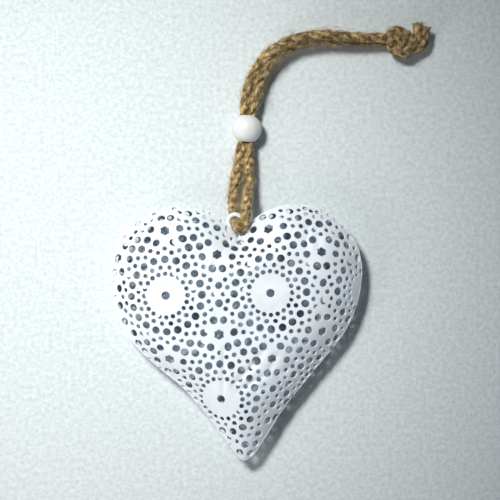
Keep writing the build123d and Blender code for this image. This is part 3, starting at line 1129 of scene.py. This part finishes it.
class TINHEART_OT_bead(bpy.types.Operator):
    """Turn the round bead that gathers the strands"""

    bl_idname = "tinheart.bead"
    bl_label = "Bead"

    def execute(self, context):
        sizes = settings().twine
        clear_selection()
        bpy.ops.mesh.primitive_circle_add(vertices=48, radius=1.0)
        bead = newest("white_bead")
        half = sizes.bead_length / 2
        bore = sizes.bead_bore / 2
        outer = sizes.bead / 2
        end = math.sqrt(outer ** 2 - half ** 2)
        for point in bead.data.vertices:
            turn = math.atan2(point.co.y, point.co.x)
            across = math.cos(turn)
            along = math.sin(turn)
            if across > 0:
                point.co = (math.sqrt(outer ** 2 - (half * along) ** 2), 0, half * along)
            else:
                lip = (end - bore) * (1 - abs(across)) ** 3
                point.co = (bore + lip, 0, half * along)
        bpy.ops.object.mode_set(mode='EDIT')
        bpy.ops.mesh.select_all(action='SELECT')
        bpy.ops.mesh.spin(steps=72, angle=math.tau, center=(0, 0, 0), axis=(0, 0, 1))
        bpy.ops.object.mode_set(mode='OBJECT')
        close_up(bead)
        bead.data.transform(Vector((0, 0, 1)).rotation_difference(BEAD_AXIS).to_matrix().to_4x4())
        bead.data.transform(Matrix.Translation(BEAD_MIDDLE))
        bead.data.materials.append(finish_named("bead_white_lacquer"))
        smooth(bead, 50)
        dress(bead, "bead", "bead_lacquer", "bead")
        return {'FINISHED'}


class TINHEART_OT_knot(bpy.types.Operator):
    """Tie the overhand knot and fray the two ends"""

    bl_idname = "tinheart.knot"
    bl_label = "Knot and ends"

    def execute(self, context):
        sizes = settings().twine
        parts = MeshParts()
        for number, spots in enumerate(KNOT_TURNS):
            line = route_points("knot_turn", spots)
            lay_rope(parts, line, sizes.twine, sizes.lay, 0.8 + number, 31.0 + number, KNOT_YARNS)
            loose_fibres(parts, line, sizes.twine, sizes.lay, KNOT_FIBRES, 77 + number, 1.0, 3, 2.0)
        dress(parts.piece("overhand_knot"), "cord", "jute", "twine_knot")
        parts = MeshParts()
        chance = random.Random(SEED + 5)
        for number, spots in enumerate((UPPER_END, LOWER_END)):
            line = route_points("end_line", spots)
            lay_rope(parts, line, sizes.twine * 1.05, sizes.lay, number, 51.0 + number, END_YARNS)
            fray(parts, line, sizes.twine, chance)
        dress(parts.piece("frayed_ends"), "cord", "jute", "twine_tails")
        return {'FINISHED'}


class TINHEART_OT_strands(bpy.types.Operator):
    """Lay the two strands of twine from the eye through the bead to the knot"""

    bl_idname = "tinheart.strands"
    bl_label = "Twine strands"

    def execute(self, context):
        sizes = settings().twine
        for name, spots, nodes, phase in (
                ("left_strand", LEFT_ROUTE, ("twine_left", "twine_bight"), 0.4),
                ("right_strand", RIGHT_ROUTE, ("twine_right",), 1.9)):
            line = route_points(name + "_line", spots)
            parts = MeshParts()
            lay_rope(parts, line, sizes.twine, sizes.lay, phase, 11.0 + phase, sizes.yarns, squeezed)
            for count, seed, lift, longest, close in (
                    (sizes.fibres // 3, SEED + len(spots), 2.1, 7, 1.3),
                    (sizes.fibres, SEED - len(spots), 1.1, 3, 2.2),
                    (WISPS, SEED * len(spots), 2.3, 14, 0.8)):
                loose_fibres(parts, line, sizes.twine, sizes.lay, count, seed, lift, longest, close,
                             keep_off=inside_bead)
            strand = parts.piece(name)
            dress(strand, "cord", "jute", *nodes)
        return {'FINISHED'}


class TINHEART_OT_eye(bpy.types.Operator):
    """Bend the wire eye that stands in the cleft"""

    bl_idname = "tinheart.eye"
    bl_label = "Wire eye"

    def execute(self, context):
        sizes = settings().twine
        middle = EYE_MIDDLE / MM
        radius = sizes.eye_radius / MM
        ring = []
        for step in range(15):
            turn = math.radians(-90 - EYE_GAP_DEGREES / 2 - (360 - EYE_GAP_DEGREES) * step / 14)
            ring.append((middle.x + radius * math.cos(turn) * EYE_SWELL,
                         middle.y + radius * math.sin(turn) * EYE_SWELL))
        spots = [(x * MM, y * MM, SEAM_HEIGHT) for x, y in (*EYE_LEFT_LEG, *ring, *EYE_RIGHT_LEG)]
        wire = smooth_curve("wire_eye", spots, 4, 6)
        wire.data.bevel_depth = sizes.eye_wire / 2
        wire.data.bevel_resolution = 5
        wire.data.use_fill_caps = True
        select_only(wire)
        bpy.ops.object.convert(target='MESH')
        eye = newest("wire_eye")
        close_up(eye, 0.000002)
        eye.data.materials.clear()
        eye.data.materials.append(finish_named("eye_white_paint"))
        smooth(eye, 60)
        dress(eye, "heart", "eye_paint", "hanging_eye")
        return {'FINISHED'}


class TINHEART_OT_seam(bpy.types.Operator):
    """Run the thin line of solder between the two flanges"""

    bl_idname = "tinheart.seam"
    bl_label = "Soldered seam"

    def execute(self, context):
        rim = heart_rim(settings().shape, False)
        rings = []
        for inward, height in SOLDER_SECTION:
            level = SEAM_HEIGHT + height * MM
            rings.append([(flat.x, flat.y, level) for flat in inner_outline(rim, inward * MM)])
        seam = wrapped_grid("heart_seam", rings, len(rings))
        close_up(seam, 0.000005)
        seam.data.materials.append(finish_named("painted_solder"))
        smooth(seam, 40)
        dress(seam, "heart", "bare_tin", "seam_solder")
        return {'FINISHED'}


def press_shell(name, shape, turned):
    """One shell with its lace, domed upwards over the seam, its flange unevenly worn."""
    pressing = Pressing(shape, turned)
    flat_rim = []
    for spot, inner in zip(pressing.rim, pressing.swell):
        worn = 0.32 + 0.5 * noise.noise(Vector((spot.x / MM / 2.2, spot.y / MM / 2.2, 5.5)))
        place = spot.lerp(inner, within(worn, high=0.7))
        flat_rim.append(Vector((place.x, place.y, pressing.base)))
    flat_foot = [Vector((spot.x, spot.y, pressing.base)) for spot in pressing.swell]
    rings = [flat_rim, flat_foot]
    shares = list(OUTER_RINGS)
    while shares[-1] > INNERMOST_RING:
        shares.append(shares[-1] - RING_STEP)
    for share in (*shares, 0.0):
        flats = [pressing.centre + (spot - pressing.centre) * share for spot in pressing.swell]
        rings.append(pressing.skin(flats))
    sheet = wrapped_grid(name, rings, len(rings) - 1)
    close_up(sheet)
    if sum(face.normal.z for face in sheet.data.polygons) < 0:
        sheet.data.flip_normals()
    paint = finish_named("white_tin_paint")
    sheet.data.materials.append(paint)
    sheet.data.materials.append(finish_named("inside_tin_and_shade"))
    wall = sheet.modifiers.new("sheet", 'SOLIDIFY')
    wall.thickness = shape.sheet
    wall.offset = -1
    wall.material_offset = 1
    wall.material_offset_rim = 0
    apply_all(sheet)
    before = len(sheet.data.polygons)
    cut_away(sheet, all_punches(pressing, paint), 'MANIFOLD')
    if len(sheet.data.polygons) <= before:
        raise RuntimeError("the punches did not cut the shell")
    smooth(sheet, 32)
    return sheet


class TINHEART_OT_shells(bpy.types.Operator):
    """Press and pierce the front shell and the back shell that is turned over to meet it"""

    bl_idname = "tinheart.shells"
    bl_label = "Heart shells"

    def execute(self, context):
        shape = settings().shape
        front = press_shell("heart_front", shape, False)
        back = press_shell("heart_back", shape, True)
        select_only(back)
        bpy.ops.transform.rotate(value=math.pi, orient_axis='Y', center_override=(0, 0, SEAM_HEIGHT))
        rest_at_origin(back)
        dress(front, "heart", "white_paint", "front_shell")
        dress(back, "heart", "white_paint", "back_shell")
        return {'FINISHED'}


class TINHEART_PT_panel(bpy.types.Panel):
    """Lists the pieces of the ornament in the order they are made"""

    bl_idname = "TINHEART_PT_panel"
    bl_label = "Tin heart"
    bl_space_type = 'VIEW_3D'
    bl_region_type = 'UI'
    bl_category = "Tin heart"

    def draw(self, context):
        for operator in OPERATORS:
            self.layout.operator(operator.bl_idname)
        for group in (settings().shape, settings().twine, settings().colours):
            for name in group.__annotations__:
                self.layout.prop(group, name)


OPERATORS = (
    TINHEART_OT_stage, TINHEART_OT_bead, TINHEART_OT_knot, TINHEART_OT_strands,
    TINHEART_OT_eye, TINHEART_OT_seam, TINHEART_OT_shells,
)
CLASSES = (TinHeartShape, TwineShape, HeartColours, TinHeartSettings, *OPERATORS, TINHEART_PT_panel)


def register():
    for kind in CLASSES:
        bpy.utils.register_class(kind)
    bpy.types.Scene.tin_heart = PointerProperty(type=TinHeartSettings)


def unregister():
    del bpy.types.Scene.tin_heart
    for kind in reversed(CLASSES):
        bpy.utils.unregister_class(kind)


def main():
    register()
    bpy.ops.tinheart.stage()
    bpy.ops.tinheart.bead()
    bpy.ops.tinheart.knot()
    bpy.ops.tinheart.strands()
    bpy.ops.tinheart.eye()
    bpy.ops.tinheart.seam()
    bpy.ops.tinheart.shells()


if __name__ == "__main__":
    main()
